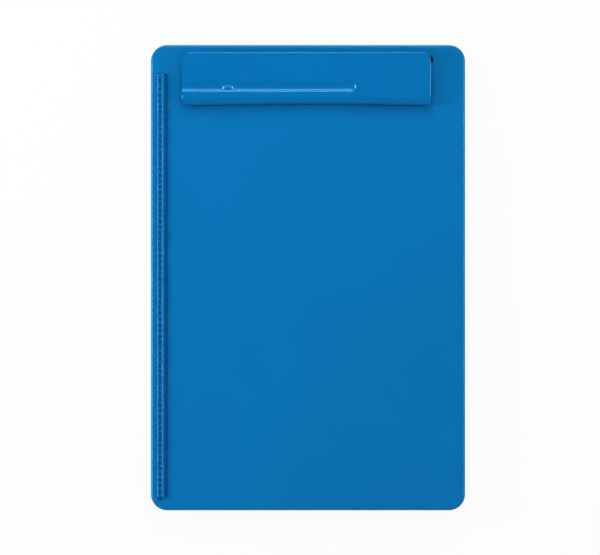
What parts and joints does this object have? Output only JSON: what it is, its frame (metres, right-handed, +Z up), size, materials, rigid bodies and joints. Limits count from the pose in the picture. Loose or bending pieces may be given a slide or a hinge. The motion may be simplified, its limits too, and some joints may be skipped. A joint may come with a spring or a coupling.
{
  "type": "storage clipboard",
  "caption": "Slim storage clipboard: hinged writing board over a shallow tray, with a wide sprung lever clip, a raised paper edge with scale cells and a side clasp.",
  "frame": {"origin": "centre of the footprint, on the surface the case lies on", "axes": "+Z up out of the writing face, +Y along the board towards the clip, +X across the board towards the clasp, away from the hinge"},
  "size_m": [0.232, 0.3434, 0.033],
  "materials": {
    "case_plastic": "satin",
    "lever_paint": "satin",
    "zinc_plate": "satin",
    "bright_steel": "polished",
    "grip_rubber": "matte"
  },
  "bodies": {
    "tray_body": {"tray": "case_plastic", "hinge_rod": "bright_steel", "hinge_rod_caps": "case_plastic"},
    "lid_body": {"lid": "case_plastic", "paper_edge": "case_plastic", "clip_base": "zinc_plate", "backing_plate": "zinc_plate", "clip_rivets": "bright_steel", "pivot_rod": "bright_steel", "rod_rings": "zinc_plate", "spring_left": "bright_steel", "spring_right": "bright_steel", "clasp_pin": "bright_steel"},
    "lever_body": {"clip_lever": "lever_paint", "lever_bracket": "zinc_plate", "grip_strip": "grip_rubber"},
    "clasp_body": {"clasp": "case_plastic"}
  },
  "joints": [
    {"name": "lid_hinge", "type": "hinge", "parent": "tray_body", "child": "lid_body", "pos_m": [-0.1125, 0, 0.0158], "axis": [0, -1, 0], "range_deg": [0, 115]},
    {"name": "clip_pivot", "type": "hinge", "parent": "lid_body", "child": "lever_body", "pos_m": [-0.0014, 0.1489, 0.027], "axis": [-1, 0, 0], "range_deg": [0, 22], "stiffness_Nm_per_rad": 0.36, "springref_deg": -49.27, "deforming": ["spring_left", "spring_right"]},
    {"name": "clasp_hinge", "type": "hinge", "parent": "lid_body", "child": "clasp_body", "pos_m": [0.1139, 0, 0.0172], "axis": [0, -1, 0], "range_deg": [0, 70]}
  ]
}
